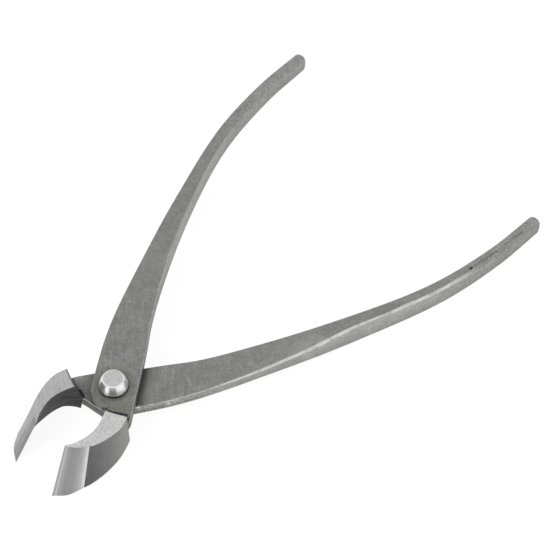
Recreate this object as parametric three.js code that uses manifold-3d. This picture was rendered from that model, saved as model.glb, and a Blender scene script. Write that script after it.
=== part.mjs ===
// Concave branch cutter for bonsai: two forged arms, half lapped and riveted, that nip at their ends.
// Millimetres, +Z up. X runs along the tool: handles towards +X, jaws towards -X. Y = 0 is the plane
// that the cutting edges meet in. The pivot is the Z axis, and the origin is its rivet's lower face.

import * as THREE from 'three';
import { mergeVertices } from 'three/addons/utils/BufferGeometryUtils.js';
import Module from 'manifold-3d';

const wasm = await Module();
wasm.setup();

// Pose
const openingAngle = 26; // degrees between the two arms as the tool lies open

// Joint plates
const plateWidth = 16.2;
const plateThickness = 4.4;
const plateLength = 28; // flat length from the pivot towards the handle
const plateAxisOffset = 0.5; // the plate's centreline passes the pivot this far on the jaw side
const plateSlope = 0.386; // rise of the plate's centreline against the closing plane
const lowerFlare = 1.4; // the lower plate is this much wider on the jaw side of the pivot
const noseReach = 9.7; // pivot to the nose's straight front wall, at its jaw end
const noseInner = 3.2; // closing plane to that end of the wall
const noseShoulderReach = 7.2; // pivot to the wall's other end
const noseShoulderOut = 4.3; // closing plane to it
const noseRounding = 3; // from the nose's outer corner to where its rounding starts
const lapGap = 0.3; // between the two plates
const fitGap = 0.3; // round the rivet and under its heads
const plateCorner = 0.7; // rounding along the plate's edges

// Handles
const handleReach = 167.6; // pivot to the handle's end
const bowHeight = 27.3; // widest distance of the handle's centreline from the closing plane
const gripWidth = 4.7; // across the grip, in the plane of the tool
const gripHeight = 9.6; // at the start of the grip, it tapers to the handle's end
const gripCorner = 1.9;

// Jaws, measured with the tool closed
const topEdgeReach = 31.1; // pivot to the upper end of the cutting edge
const bottomEdgeReach = 41.3; // pivot to its lower end
const topStepReach = 12.6; // pivot to the jaw's step, at the cavity
const bottomStepReach = 10.75;
const neckReach = 10.2; // the same corner at the lap plane
const neckInner = 4.3; // closing plane to that corner
const topStepSlant = 1.5; // the step leans back towards the pivot on the outside
const bottomStepSlant = 0.75;
const topRise = 8.5; // lap plane to the ground top face, at the step
const topRiseAtEdge = 7.1;
const bottomDrop = 7.9; // lap plane to the underside, as far as the bevel
const bottomDropAtEdge = 10.8;
const lowerTrim = 1; // the lower arm's cutting edge ends this much higher
const topCavity = 5.7; // closing plane to the hollow inner face, at the top
const bottomCavity = 10; // and at the underside
const topHalfWidth = 13.15; // closing plane to the outer face
const bottomHalfWidth = 13.4;
const topBevel = 4; // length of the ground bevel along X, at the top
const bottomBevel = 6.8; // and at the underside
const topBevelCrown = 0.45; // the bevel is slightly round
const bottomBevelCrown = 1.1;
const edgeLand = 0.35; // flat of the cutting edge that meets the other jaw's
const closeGap = 0.1; // left between the closed edges and the closing plane

// Rivet and its washer
const shankRadius = 3.1;
const rivetHeadRadius = 5.2;
const rivetFaceRadius = 3.4; // flat turned face on the head
const rivetHeadHeight = 4.3;
const rivetRim = 0.5; // short straight rim under the head's cone
const rivetChamfer = 0.25;
const washerRadius = 5;
const washerThickness = 1.2;
const tailRadius = 4;
const tailFaceRadius = 2.9;
const tailHeight = 1;

// Fineness
const barRings = 40;
const cornerSteps = 3;
const curveSteps = 14;
const bevelSteps = 4;
const jawSteps = 3; // rings between two of a jaw's outlines
const turnSteps = 48;
const overrun = 5; // how far a cutting shape passes what it cuts

// Worked out from the sizes above
const deg = Math.PI / 180;
const lapLevel = tailHeight + fitGap + washerThickness + fitGap + plateThickness;
const plateDepth = plateThickness - lapGap / 2;
const plateMiddle = (plateThickness + lapGap / 2) / 2;
const handleLength = handleReach - plateLength;

const materials = {
  blasted: { color: 0x858583, roughness: 0.55, metalness: 0.9 },
  bright: { color: 0xc4c4c4, roughness: 0.25, metalness: 1 },
};

// Tools for closed solids

function toSolid(geometry) {
  const bare = geometry.clone();
  bare.deleteAttribute('normal');
  bare.deleteAttribute('uv');
  const merged = mergeVertices(bare, 1e-5);
  return new wasm.Manifold(new wasm.Mesh({
    numProp: 3,
    vertProperties: new Float32Array(merged.attributes.position.array),
    triVerts: new Uint32Array(merged.index.array),
  }));
}

function toGeometry(solid) {
  const mesh = solid.getMesh();
  const geometry = new THREE.BufferGeometry();
  geometry.setAttribute('position', new THREE.BufferAttribute(mesh.vertProperties, 3));
  geometry.setIndex(new THREE.BufferAttribute(mesh.triVerts, 1));
  geometry.computeVertexNormals();
  return geometry;
}

// A closed solid from outlines of equally many points: each outline joins the next one, the first and
// the last are capped. The outlines turn counterclockwise seen from the side they advance to.
function loft(outlines, caps) {
  const count = outlines[0].length;
  const points = outlines.flat();
  const index = [];
  for (let ring = 0; ring + 1 < outlines.length; ring += 1) {
    for (let i = 0; i < count; i += 1) {
      const a = ring * count + i;
      const b = ring * count + (i + 1) % count;
      index.push(a, b, b + count, a, b + count, a + count);
    }
  }
  const last = (outlines.length - 1) * count;
  for (const [a, b, c] of THREE.ShapeUtils.triangulateShape(caps[0], [])) index.push(c, b, a);
  for (const [a, b, c] of THREE.ShapeUtils.triangulateShape(caps[1], [])) {
    index.push(last + a, last + b, last + c);
  }
  const geometry = new THREE.BufferGeometry();
  geometry.setAttribute('position', new THREE.Float32BufferAttribute(points.flatMap((p) => p.toArray()), 3));
  geometry.setIndex(index);
  return geometry;
}

function extrudeFlat(shape, bottom, top) {
  const settings = { depth: top - bottom, bevelEnabled: false, curveSegments: curveSteps };
  return new THREE.ExtrudeGeometry(shape, settings).translate(0, 0, bottom);
}

function turned(profile) {
  const points = profile.map(([r, z]) => new THREE.Vector2(r, z));
  return new THREE.LatheGeometry(points, turnSteps).rotateX(Math.PI / 2);
}

// Smooth value at a run along stations that are not evenly spaced
function follow(stations, key, run) {
  let i = 0;
  while (i + 2 < stations.length && run > stations[i + 1].run) i += 1;
  const slope = (k) => {
    const before = stations[Math.max(k - 1, 0)];
    const after = stations[Math.min(k + 1, stations.length - 1)];
    const middle = stations[k];
    const left = k > 0 ? (middle[key] - before[key]) / (middle.run - before.run) : null;
    const right = k + 1 < stations.length ? (after[key] - middle[key]) / (after.run - middle.run) : null;
    if (left === null) return right;
    if (right === null) return left;
    return left * right <= 0 && key !== 'bow' ? 0 : (left + right) / 2;
  };
  const [a, b] = [stations[i], stations[i + 1]];
  const span = b.run - a.run;
  const t = (run - a.run) / span;
  const [m0, m1] = [slope(i) * span, slope(i + 1) * span];
  return a[key] * (2 * t ** 3 - 3 * t ** 2 + 1) + m0 * (t ** 3 - 2 * t ** 2 + t)
    + b[key] * (3 * t ** 2 - 2 * t ** 3) + m1 * (t ** 3 - t ** 2);
}

// Plate and handle of one arm, as one bar. The upper arm's bar bows to +Y and lies above the lap plane.

// Along the plate: shares of its length, of the way from the grip's width to the plate's, and of the
// rise of its centreline
const plateShares = [[-0.5, 1, 1], [0, 1, 1], [0.62, 0.93, 1], [1, 0.78, 0.965]];

// Along the handle: shares of its length, of the bow, of the way from the grip's width to the plate's,
// of the grip's height, of the plate's distance from the lap plane, and of the grip's edge rounding
const gripShares = [
  [0.16, 0.582, 0.47, 0.694, 0.62, 0.68],
  [0.41, 0.85, 0.12, 1, 0.15, 1],
  [0.655, 1, 0, 0.958, 0, 1],
  [0.855, 0.938, 0, 0.865, 0, 1],
  [1, 0.797, 0, 0.792, 0, 1],
];

// The edge on the outer side of the lap plane stays low for longer, so that face tilts there.
// Shares of the handle's length and of the plate's thickness
const tiltShares = [[-1, 0], [0, 0], [0.2, 0.52], [0.27, 0.52], [0.41, 0], [1, 0]];

const widthAt = (share) => gripWidth + share * (plateWidth - gripWidth);
const barStations = [
  ...plateShares.map(([along, width, rise]) => ({
    run: plateLength * along,
    bow: plateLength * along * plateSlope * rise - plateAxisOffset,
    width: widthAt(width),
    height: plateDepth,
    rise: plateMiddle,
    corner: plateCorner,
  })),
  ...gripShares.map(([along, bow, width, height, rise, corner]) => ({
    run: plateLength + handleLength * along,
    bow: bowHeight * bow,
    width: widthAt(width),
    height: gripHeight * height,
    rise: plateMiddle * rise,
    corner: gripCorner * corner,
  })),
];

const tiltStations = tiltShares.map(([along, tilt]) => ({
  run: plateLength + handleLength * along,
  tilt: plateThickness * tilt,
}));

const nudgeShare = 0.01; // step for the bar's direction, as a share of the way between two rings
const endRoundShares = [0.9, 1.5, 1.2]; // rounding of the handle's end across, up and along, of the grip's

function roundedRing(width, height, corner) {
  const ring = [];
  const [w, h] = [width / 2 - corner, height / 2 - corner];
  for (const [sx, sy, start] of [[1, -1, -90], [1, 1, 0], [-1, 1, 90], [-1, -1, 180]]) {
    for (let step = 0; step <= cornerSteps; step += 1) {
      const angle = (start + 90 * step / cornerSteps) * deg;
      ring.push(new THREE.Vector2(sx * w + corner * Math.cos(angle), sy * h + corner * Math.sin(angle)));
    }
  }
  return ring;
}

function barSolid() {
  const outlines = [];
  const rings = [];
  const first = barStations[0].run;
  const last = barStations.at(-1).run;
  const nudge = (last - first) / barRings * nudgeShare;
  const addRing = (run, across, up, advance) => {
    const at = (key) => follow(barStations, key, run);
    const [low, high] = [Math.max(run - nudge, first), Math.min(run + nudge, last)];
    const rise = follow(barStations, 'bow', high) - follow(barStations, 'bow', low);
    const length = Math.hypot(high - low, rise);
    const [tx, ty] = [(high - low) / length, rise / length];
    const [w, h] = [at('width') - 2 * across, at('height') - 2 * up];
    const flat = roundedRing(w, h, at('corner') - across);
    const tilt = follow(tiltStations, 'tilt', run);
    for (const p of flat) p.y += tilt * (1 / 2 + p.x / w) * (1 / 2 - p.y / h);
    rings.push(flat);
    outlines.push(flat.map((p) => new THREE.Vector3(
      run + tx * advance - ty * p.x, at('bow') + ty * advance + tx * p.x, at('rise') + p.y,
    )));
  };
  for (let i = 0; i <= barRings; i += 1) addRing(first + (last - first) * i / barRings, 0, 0, 0);
  // Rounded handle end
  const [across, up, along] = endRoundShares.map((share) => share * gripCorner);
  for (const angle of [30, 60, 80]) {
    const back = 1 - Math.cos(angle * deg);
    addRing(last, across * back, up * back, along * Math.sin(angle * deg));
  }
  return toSolid(loft(outlines, [rings[0], rings.at(-1)]));
}

const neckOuterShare = 0.96; // of the jaw's half width
const shoulderShare = 0.5; // of the way to the step, where the neck starts to widen beyond the plate
const flareFullShare = 0.55; // of the border's length, where it has its full extra width
const flareFadeShare = 0.85; // and where that starts to fade into the jaw
// Of the way from the neck's inner corner to its outer border, where its end lies inside the jaw
const neckEndShares = { upper: 0.3, lower: 0.65 };

// What is left of the bar at the joint: a blunt nose, and a neck that runs into the jaw
function plateOutline(neckEndShare) {
  const shape = new THREE.Shape();
  const far = handleReach + plateWidth;
  const beyond = bowHeight + plateWidth;
  const neckOuter = topHalfWidth * neckOuterShare;
  // The nose's outer corner, where its front wall meets the plate's long edge
  const direction = Math.hypot(1, plateSlope);
  const edgeOut = plateWidth / 2 * direction - plateAxisOffset;
  const wallSlope = (noseShoulderOut + noseInner) / (noseReach - noseShoulderReach);
  const cornerX = (noseShoulderOut + wallSlope * noseShoulderReach - edgeOut) / (plateSlope - wallSlope);
  const onEdge = (x) => edgeOut + x * plateSlope;
  const roundStart = cornerX + noseRounding / direction;
  shape.moveTo(far, beyond);
  shape.lineTo(roundStart, beyond);
  shape.lineTo(roundStart, onEdge(roundStart));
  shape.quadraticCurveTo(cornerX, onEdge(cornerX), -noseShoulderReach, noseShoulderOut);
  shape.lineTo(-noseReach, -noseInner);
  shape.lineTo(-neckReach, -neckInner);
  shape.lineTo(-topStepReach, -neckInner - (neckOuter - neckInner) * neckEndShare);
  shape.lineTo(-topStepReach, -neckOuter);
  shape.lineTo(-topStepReach * shoulderShare, -neckOuter);
  shape.lineTo(-topStepReach * shoulderShare, -beyond);
  shape.lineTo(far, -beyond);
  return shape;
}

// The lower plate's extra width: a border that swells from the handle side to the jaw
function flareOutline() {
  const direction = Math.hypot(1, plateSlope);
  const edgeAt = (x) => x * plateSlope - plateWidth / 2 * direction - plateAxisOffset;
  const shape = new THREE.Shape();
  const [start, end] = [plateLength / 2, -bottomStepReach];
  shape.moveTo(start, edgeAt(start) + plateWidth / 2);
  for (let step = 0; step <= curveSteps; step += 1) {
    const along = step / curveSteps;
    const x = start + (end - start) * along;
    const swell = Math.sin(Math.min(along / flareFullShare, 1) * Math.PI / 2) ** 2;
    const fade = 1 - Math.max((along - flareFadeShare) / (1 - flareFadeShare), 0) ** 2 / 2;
    shape.lineTo(x, edgeAt(x) - lowerFlare * swell * fade);
  }
  shape.lineTo(-topStepReach, -topHalfWidth * neckOuterShare);
  shape.lineTo(-topStepReach, edgeAt(0));
  shape.lineTo(0, edgeAt(0) + plateWidth / 2);
  return shape;
}

// One jaw: a block between outlines at its underside, the lap plane and its top, each made of the hollow
// inner face, the land of the cutting edge, the bevel and the outer face. Reach is the way from the pivot
// towards the tip. Inner faces: shares of the way from step to edge, and of the cavity. Outer faces:
// shares of the way from bevel to step, and of the half width.

const topInnerShares = [[0, 0.84], [0.143, 0.93], [0.32, 1], [0.49, 0.965], [0.64, 0.825], [0.793, 0.56],
  [0.904, 0.33]];
const bottomInnerShares = [[0, 0.57], [0.045, 0.73], [0.108, 0.89], [0.164, 0.98], [0.29, 1], [0.459, 0.91],
  [0.588, 0.8], [0.704, 0.66], [0.82, 0.46], [0.919, 0.25]];
const topOuterShares = [[0, 0.582], [0.089, 0.682], [0.316, 0.845], [0.5, 0.938], [0.709, 1], [0.854, 0.992],
  [1, 0.965]];
const bottomOuterShares = [[0, 0.679], [0.098, 0.779], [0.278, 0.893], [0.453, 0.962], [0.673, 1],
  [0.902, 0.96], [1, 0.925]];
const trimReachShare = 0.58; // what a higher end takes off the edge's reach
const neckBlendShare = 0.3; // of the inner face, over which it blends into the neck's corner

function smooth(points, steps) {
  const flat = points.map(([x, y]) => new THREE.Vector3(x, y, 0));
  const curve = new THREE.CatmullRomCurve3(flat, false, 'centripetal');
  return curve.getSpacedPoints(steps).map((p) => [p.x, p.y]);
}

function jawOutline(sizes) {
  const { stepReach, stepSlant, edgeReach, cavity, halfWidth, bevel, crown, innerShares, outerShares } = sizes;
  const landStart = edgeReach - edgeLand;
  const inner = innerShares.map(([along, out]) => [
    stepReach + along * (landStart - stepReach), closeGap + out * (cavity - closeGap),
  ]);
  inner.push([landStart, closeGap]);
  const bevelReach = edgeReach - bevel;
  const bevelOut = outerShares[0][1] * halfWidth;
  const length = Math.hypot(bevel, bevelOut - closeGap);
  const middle = [
    (edgeReach + bevelReach) / 2 + crown * (bevelOut - closeGap) / length,
    (closeGap + bevelOut) / 2 + crown * bevel / length,
  ];
  const outerStep = stepReach - stepSlant;
  const outer = outerShares.map(([along, out]) => [
    bevelReach + along * (outerStep - bevelReach), out * halfWidth,
  ]);
  return [
    ...smooth(inner, curveSteps),
    ...smooth([[edgeReach, closeGap], middle, [bevelReach, bevelOut]], bevelSteps).slice(0, -1),
    ...smooth(outer, curveSteps),
  ];
}

function jawSolid(side) {
  const trim = side > 0 ? lowerTrim : 0;
  const top = jawOutline({
    stepReach: topStepReach,
    stepSlant: topStepSlant,
    edgeReach: topEdgeReach,
    cavity: topCavity,
    halfWidth: topHalfWidth,
    bevel: topBevel,
    crown: topBevelCrown,
    innerShares: topInnerShares,
    outerShares: topOuterShares,
  });
  const bottom = jawOutline({
    stepReach: bottomStepReach,
    stepSlant: bottomStepSlant,
    edgeReach: bottomEdgeReach - trim * trimReachShare,
    cavity: bottomCavity,
    halfWidth: bottomHalfWidth,
    bevel: bottomBevel - trim * trimReachShare,
    crown: bottomBevelCrown,
    innerShares: bottomInnerShares,
    outerShares: bottomOuterShares,
  });
  const topSlope = (topRise - topRiseAtEdge) / (topEdgeReach - topStepReach);
  const bottomSlope = (bottomDropAtEdge - trim - bottomDrop) / (bottomBevel - trim * trimReachShare);
  const bevelStart = bottomEdgeReach - bottomBevel;
  const upper = top.map(([reach, out]) => new THREE.Vector3(
    -reach, side * out, topRise - topSlope * (reach - topStepReach),
  ));
  const lower = bottom.map(([reach, out]) => new THREE.Vector3(
    -reach, side * out, -bottomDrop - bottomSlope * Math.max(reach - bevelStart, 0),
  ));
  // The outline at the lap plane, where the inner face's corner comes forward to meet the neck
  const middle = lower.map((low, i) => low.clone().lerp(upper[i], -low.z / (upper[i].z - low.z)));
  const corner = new THREE.Vector3(-neckReach, side * neckInner, 0).sub(middle[0]);
  for (let i = 0; i < curveSteps * neckBlendShare; i += 1) {
    middle[i].addScaledVector(corner, (1 - i / (curveSteps * neckBlendShare)) ** 2);
  }
  const outlines = [lower];
  for (const [from, to] of [[lower, middle], [middle, upper]]) {
    for (let step = 1; step <= jawSteps; step += 1) {
      outlines.push(from.map((p, i) => p.clone().lerp(to[i], step / jawSteps)));
    }
  }
  if (side > 0) outlines.forEach((outline) => outline.reverse());
  const caps = [outlines[0], outlines.at(-1)].map((outline) => outline.map((p) => new THREE.Vector2(p.x, p.y)));
  return toSolid(loft(outlines, caps));
}

// Arms

function boreSolid() {
  const radius = shankRadius + fitGap;
  const reach = plateThickness + overrun;
  return toSolid(turned([[0, -reach], [radius, -reach], [radius, reach], [0, reach]]));
}

function makeArm(name, side) {
  const neckEndShare = side > 0 ? neckEndShares.upper : neckEndShares.lower;
  const keep = extrudeFlat(plateOutline(neckEndShare), -gripHeight - overrun, gripHeight + overrun);
  let bar = barSolid().intersect(toSolid(keep));
  if (side < 0) {
    bar = bar.add(toSolid(extrudeFlat(flareOutline(), lapGap / 2, plateThickness)));
    bar = toSolid(toGeometry(bar).rotateX(Math.PI));
  }
  const arm = bar.subtract(boreSolid()).add(jawSolid(-side));
  const mesh = new THREE.Mesh(toGeometry(arm), new THREE.MeshStandardMaterial(materials.blasted));
  mesh.name = name;
  mesh.rotation.z = side * openingAngle / 2 * deg;
  return mesh;
}

// Rivet: a turned head, a shank through both plates, and a tail riveted over the washer

function makeRivet() {
  const headBase = plateThickness + fitGap;
  const headTop = headBase + rivetHeadHeight;
  const washerTop = -plateThickness - fitGap;
  const tailTop = washerTop - washerThickness - fitGap;
  const profile = [
    [0, tailTop - tailHeight],
    [tailFaceRadius, tailTop - tailHeight],
    [tailRadius, tailTop - tailHeight / 2],
    [tailRadius, tailTop],
    [shankRadius, tailTop],
    [shankRadius, headBase],
    [rivetHeadRadius, headBase],
    [rivetHeadRadius, headBase + rivetRim],
    [rivetFaceRadius + rivetChamfer, headTop - rivetChamfer],
    [rivetFaceRadius, headTop],
    [0, headTop],
  ];
  const mesh = new THREE.Mesh(turned(profile), new THREE.MeshStandardMaterial(materials.bright));
  mesh.name = 'pivot_rivet';
  return mesh;
}

function makeWasher() {
  const top = -plateThickness - fitGap;
  const inside = shankRadius + fitGap;
  const profile = [
    [inside, top - washerThickness],
    [washerRadius - rivetChamfer, top - washerThickness],
    [washerRadius, top - washerThickness + rivetChamfer],
    [washerRadius, top],
    [inside, top],
    [inside, top - washerThickness],
  ];
  const mesh = new THREE.Mesh(turned(profile), new THREE.MeshStandardMaterial(materials.bright));
  mesh.name = 'rivet_washer';
  return mesh;
}

const tool = new THREE.Group();
tool.position.z = lapLevel;
tool.add(makeArm('upper_arm', 1));
tool.add(makeArm('lower_arm', -1));
tool.add(makeRivet());
tool.add(makeWasher());

export default tool;
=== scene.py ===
# Concave branch cutter for bonsai. Metres, +Z up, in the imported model's frame; the sizes below are in
# millimetres, as in the part. X runs from the jaws (-X) to the handles (+X); the pivot is the Z axis.

from math import atan2, cos, hypot, pi, radians, sin

import bmesh
import bpy
import numpy as np
from mathutils import Matrix, Vector


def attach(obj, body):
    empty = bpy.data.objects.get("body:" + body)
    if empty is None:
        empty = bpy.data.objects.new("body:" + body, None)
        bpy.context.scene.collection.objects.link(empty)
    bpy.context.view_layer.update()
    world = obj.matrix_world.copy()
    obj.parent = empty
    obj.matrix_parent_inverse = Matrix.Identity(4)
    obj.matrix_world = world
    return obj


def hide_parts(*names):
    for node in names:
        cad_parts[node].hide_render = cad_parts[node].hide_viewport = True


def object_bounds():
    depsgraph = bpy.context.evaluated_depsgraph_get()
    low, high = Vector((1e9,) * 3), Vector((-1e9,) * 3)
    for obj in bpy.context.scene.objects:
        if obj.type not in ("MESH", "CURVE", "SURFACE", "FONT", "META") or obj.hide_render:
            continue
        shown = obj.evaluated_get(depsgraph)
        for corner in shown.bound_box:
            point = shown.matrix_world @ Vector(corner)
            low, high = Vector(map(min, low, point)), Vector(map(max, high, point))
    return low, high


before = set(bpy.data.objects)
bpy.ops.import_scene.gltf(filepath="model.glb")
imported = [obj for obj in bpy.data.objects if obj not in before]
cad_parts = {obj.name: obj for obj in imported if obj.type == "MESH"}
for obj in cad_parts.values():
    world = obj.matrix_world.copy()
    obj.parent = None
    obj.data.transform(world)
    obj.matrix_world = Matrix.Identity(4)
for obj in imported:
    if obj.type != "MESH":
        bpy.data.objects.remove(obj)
cad_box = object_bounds()
MM = 0.001

# Camera, at the photograph's view: 52.6 degrees above, turned 46.7 degrees, 0.885 m from the pivot

TILT = radians(52.633)
TURN = radians(46.724)
CAMERA = Vector((-324.77, -383.16, 728.96)) * MM
SENSOR = 36
FOCAL_WIDTHS = 2500 / 550  # focal length, in widths of the picture


def add_camera():
    right = Vector((cos(TURN), -sin(TURN), 0))
    back = Vector((-cos(TILT) * sin(TURN), -cos(TILT) * cos(TURN), sin(TILT)))
    up = back.cross(right)
    data = bpy.data.cameras.new("camera")
    data.sensor_width = SENSOR
    data.sensor_fit = "HORIZONTAL"
    data.lens = FOCAL_WIDTHS * SENSOR
    data.clip_start = 0.01
    data.clip_end = 20
    camera = bpy.data.objects.new("camera", data)
    camera.matrix_world = Matrix.Translation(CAMERA) @ Matrix((right, up, back)).transposed().to_4x4()
    bpy.context.scene.collection.objects.link(camera)
    bpy.context.scene.camera = camera


# Sizes of the arms, as in the part

OPENING = 26
PLATE_WIDTH, PLATE_THICKNESS, PLATE_LENGTH, PLATE_OFFSET, PLATE_SLOPE = 16.2, 4.4, 28, 0.5, 0.386
LAP_GAP, FIT_GAP, PLATE_CORNER = 0.3, 0.3, 0.5
NOSE_REACH, NOSE_INNER, NOSE_SHOULDER_REACH, NOSE_SHOULDER_OUT, NOSE_ROUNDING = 9.7, 3.2, 7.2, 4.3, 3
HANDLE_REACH, BOW, GRIP_WIDTH, GRIP_HEIGHT, GRIP_CORNER = 167.6, 27.3, 4.7, 9.6, 1.25
NECK_REACH, NECK_INNER = 10.2, 4.3
LAND, CLOSE_GAP = 0.35, 0.1
SHANK, HEAD, FACE, HEAD_HEIGHT, RIM, FACE_ROUNDING = 3.1, 5.2, 3.4, 4.3, 0.5, 0.8
WASHER, WASHER_THICKNESS, TAIL, TAIL_FACE, TAIL_HEIGHT = 5, 1.2, 4, 2.9, 1
LAP_LEVEL = TAIL_HEIGHT + 2 * FIT_GAP + WASHER_THICKNESS + PLATE_THICKNESS
PLATE_DEPTH = PLATE_THICKNESS - LAP_GAP / 2
PLATE_MIDDLE = (PLATE_THICKNESS + LAP_GAP / 2) / 2
HANDLE_LENGTH = HANDLE_REACH - PLATE_LENGTH

TOP = dict(step=12.6, slant=1.5, edge=31.1, cavity=5.7, half=13.15, bevel=4, crown=0.45,
           inner=[(0, .84), (.143, .93), (.32, 1), (.49, .965), (.64, .825), (.793, .56), (.904, .33)],
           outer=[(0, .582), (.089, .682), (.316, .845), (.5, .938), (.709, 1), (.854, .992), (1, .965)])
BOTTOM = dict(step=10.75, slant=.75, edge=41.3, cavity=10, half=13.4, bevel=6.8, crown=1.1,
              inner=[(0, .57), (.045, .73), (.108, .89), (.164, .98), (.29, 1), (.459, .91), (.588, .8),
                     (.704, .66), (.82, .46), (.919, .25)],
              outer=[(0, .679), (.098, .779), (.278, .893), (.453, .962), (.673, 1), (.902, .96), (1, .925)])
TOP_RISE, TOP_RISE_AT_EDGE, BOTTOM_DROP, BOTTOM_DROP_AT_EDGE = 8.5, 7.1, 7.9, 10.8
LOWER_TRIM, TRIM_REACH, LOWER_FLARE = 1, .58, 1.4
NECK_OUTER = TOP["half"] * .96

PLATE_SHARES = [(-.5, 1, 1), (0, 1, 1), (.62, .93, 1), (1, .78, .965)]
GRIP_SHARES = [(.16, .582, .47, .694, .62, .7), (.41, .85, .12, 1, .15, .8), (.655, 1, 0, .958, 0, .95),
               (.855, .938, 0, .865, 0, 1.2), (1, .797, 0, .792, 0, 1.35)]
TILT_SHARES = [(-1, 0), (0, 0), (.2, .52), (.27, .52), (.41, 0), (1, 0)]

# Roundings that are too fine for the part, and how finely the meshes are cut
NOSE_BORDER, FLARE_BORDER = .38, .3
SIDE_CROWN, FACE_CROWN = .07, .035  # of the grips, as shares of their width and height
END_ACROSS, END_UP, END_ALONG = 1.9, 3.1, 2.26  # rounding of the handles' ends
BAR_RINGS, CORNER_STEPS, SIDE_FLATS, FLARE_STEPS = 150, 6, 5, 28
CUTTER = 20  # half height of what cuts the arms

# Material slots of the arms, in this order in every mesh
BLASTED, SIDE, GROUND, BEVEL, EDGE, HOLLOW, FORGED, WALL = range(8)
# And those of the rivet and its washer
CONE, TURNED_FACE, TURNED_RIM_SHADE, TURNED_WASHER = range(4)


def mesh_object(name, verts, faces, slots=None, materials=()):
    mesh = bpy.data.meshes.new(name)
    mesh.from_pydata([tuple(v) for v in verts], [], [tuple(f) for f in faces])
    for material in materials:
        mesh.materials.append(material)
    if slots is not None:
        mesh.polygons.foreach_set("material_index", slots)
    obj = bpy.data.objects.new(name, mesh)
    bpy.context.scene.collection.objects.link(obj)
    return obj


def boolean(target, tool, operation):
    modifier = target.modifiers.new("cut", "BOOLEAN")
    modifier.object = tool
    modifier.operation = operation
    modifier.solver = "EXACT"
    modifier.material_mode = "INDEX"
    graph = bpy.context.evaluated_depsgraph_get()
    result = bpy.data.meshes.new_from_object(target.evaluated_get(graph))
    target.modifiers.clear()
    old = target.data
    target.data = result
    bpy.data.meshes.remove(old)
    bpy.data.objects.remove(tool)


# Bar of one arm: joint plate and handle


def follow(stations, key, run):
    """Smooth curve through the stations' values, level at each peak except for the bow's."""
    i = 0
    while i + 2 < len(stations) and run > stations[i + 1]["run"]:
        i += 1

    def slope(k):
        here = stations[k]
        left = right = None
        if k > 0:
            left = (here[key] - stations[k - 1][key]) / (here["run"] - stations[k - 1]["run"])
        if k + 1 < len(stations):
            right = (stations[k + 1][key] - here[key]) / (stations[k + 1]["run"] - here["run"])
        if left is None:
            return right
        if right is None:
            return left
        return 0 if left * right <= 0 and key != "bow" else (left + right) / 2

    a, b = stations[i], stations[i + 1]
    span = b["run"] - a["run"]
    t = (run - a["run"]) / span
    m0, m1 = slope(i) * span, slope(i + 1) * span
    return (a[key] * (2 * t ** 3 - 3 * t ** 2 + 1) + m0 * (t ** 3 - 2 * t ** 2 + t)
            + b[key] * (3 * t ** 2 - 2 * t ** 3) + m1 * (t ** 3 - t ** 2))


def bar_stations():
    """The bar's section and place, along its run from the jaw's side to the handle's end."""
    def width(share):
        return GRIP_WIDTH + share * (PLATE_WIDTH - GRIP_WIDTH)

    rows = [dict(run=PLATE_LENGTH * a, bow=PLATE_LENGTH * a * PLATE_SLOPE * b - PLATE_OFFSET,
                 width=width(w), height=PLATE_DEPTH, rise=PLATE_MIDDLE, corner=PLATE_CORNER, crown=0)
            for a, w, b in PLATE_SHARES]
    rows += [dict(run=PLATE_LENGTH + HANDLE_LENGTH * a, bow=BOW * b, width=width(w), height=GRIP_HEIGHT * h,
                  rise=PLATE_MIDDLE * r, corner=GRIP_CORNER * c, crown=min(a * 2.4, 1))
             for a, b, w, h, r, c in GRIP_SHARES]
    return rows


def ring(width, height, corner, crown):
    """Rounded rectangle with slightly crowned sides, counterclockwise, and which of its runs are sides."""
    points, sides = [], []
    w, h = width / 2 - corner, height / 2 - corner
    quarter = [(1, -1, -90), (1, 1, 0), (-1, 1, 90), (-1, -1, 180)]
    for k, (sx, sy, start) in enumerate(quarter):
        for step in range(CORNER_STEPS + 1):
            angle = radians(start + 90 * step / CORNER_STEPS)
            points.append((sx * w + corner * cos(angle), sy * h + corner * sin(angle)))
            sides.append(step > CORNER_STEPS / 2 if k % 2 == 0 else step < CORNER_STEPS / 2)
        a = points[-1]
        nx, ny, n_start = quarter[(k + 1) % 4]
        b = (nx * w + corner * cos(radians(n_start)), ny * h + corner * sin(radians(n_start)))
        for step in range(1, SIDE_FLATS):
            t = step / SIDE_FLATS
            points.append((a[0] + t * (b[0] - a[0]), a[1] + t * (b[1] - a[1])))
            sides.append(k % 2 == 0)
    flat = []
    for x, y in points:
        flat.append((x * (1 - SIDE_CROWN * crown * (2 * y / height) ** 2),
                     y * (1 - FACE_CROWN * crown * (2 * x / width) ** 2)))
    return flat, sides


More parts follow.
